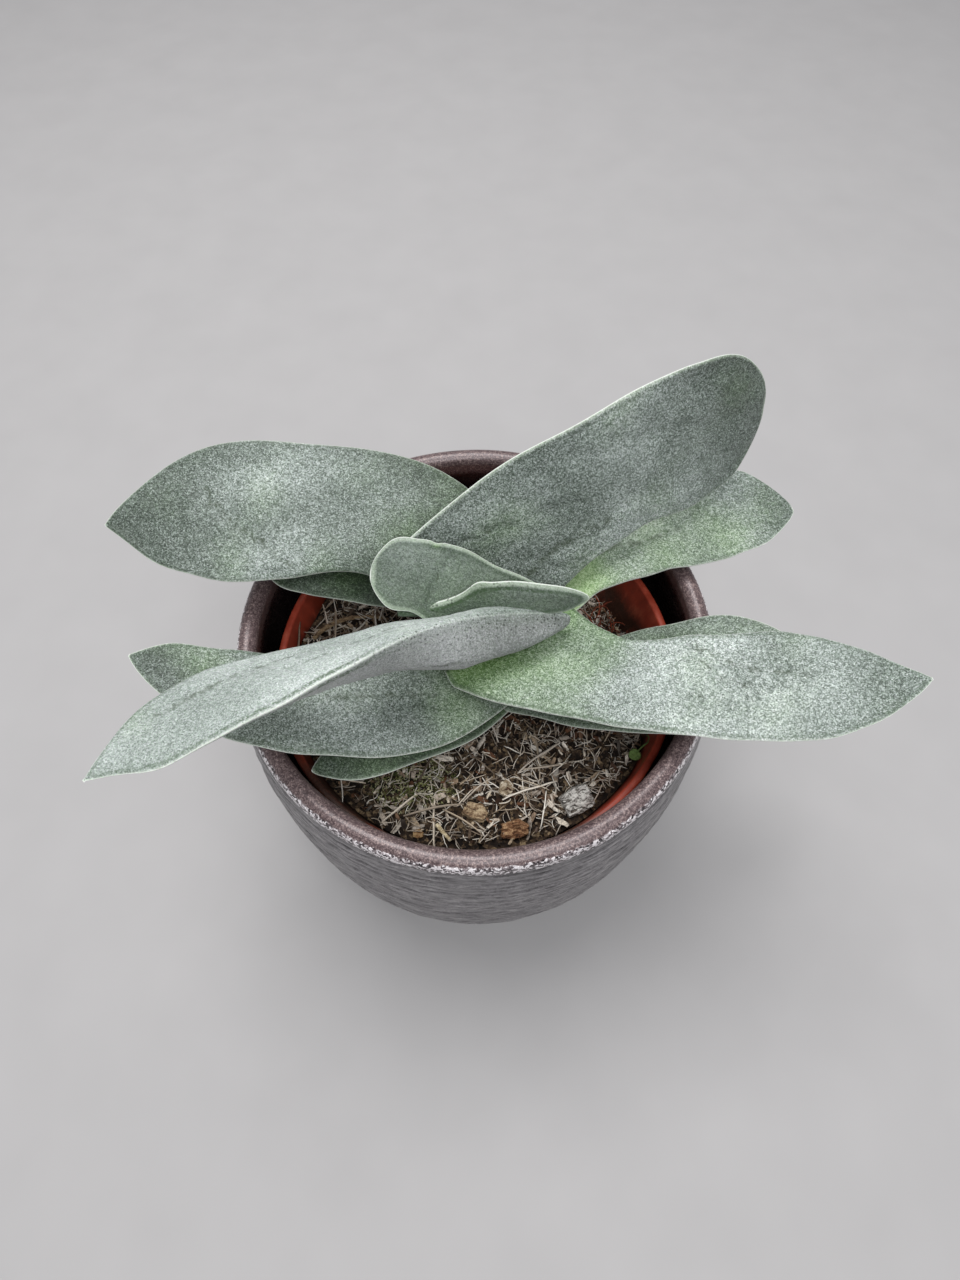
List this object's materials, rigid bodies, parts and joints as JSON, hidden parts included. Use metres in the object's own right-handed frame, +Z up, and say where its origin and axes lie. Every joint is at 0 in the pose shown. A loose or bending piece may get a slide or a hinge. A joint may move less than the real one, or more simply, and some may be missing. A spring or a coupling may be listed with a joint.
{
  "type": "potted crassula",
  "caption": "Propeller plant with thick twisted sickle-shaped grey-green leaves, in a plastic nursery pot inside a round dark glazed outer pot.",
  "frame": {"origin": "middle of the outer pot's flat foot", "axes": "+Z up out of the pot, +X along the two ranks of leaves to the right, +Y to the back"},
  "size_m": [0.1892, 0.1256, 0.1457],
  "materials": {
    "glaze": "dark satin reactive glaze, speckled on the lip, steel grey and finely ridged on the wall",
    "nursery_plastic": "orange-brown moulded plastic, dull",
    "peat": "dark dry peat with pale fibres and crumbs",
    "bark": "rough brown bark",
    "bark_pale": "weathered grey bark",
    "twig": "dry pale stick",
    "straw": "dry pale root fibres and straw",
    "moss": "fine green moss and seedlings",
    "stem": "dull green-brown succulent stem",
    "leaf": "matte silver-green leaf, densely speckled, with pale margins",
    "leaf_old": "matte darker grey-green leaf, densely speckled"
  },
  "bodies": {
    "root": {"cache_pot": "glaze", "nursery_pot": "nursery_plastic", "soil": "peat", "bark_chip_brown": "bark", "bark_chip_tan": "bark", "bark_chip_pale": "bark_pale", "bark_chip_grey": "bark_pale", "bark_chip_small": "bark", "pale_stick": "twig", "twig_left": "twig", "stem": "stem", "young_leaf_right": "leaf", "young_leaf_left": "leaf", "leaf_left_front": "leaf", "leaf_right_back": "leaf", "leaf_right_front": "leaf", "leaf_left_back": "leaf", "leaf_left_lower": "leaf_old", "leaf_right_back_lower": "leaf_old", "leaf_left_back_lower": "leaf_old", "leaf_right_lower": "leaf_old", "leaf_left_front_lowest": "leaf_old"}
  },
  "joints": []
}
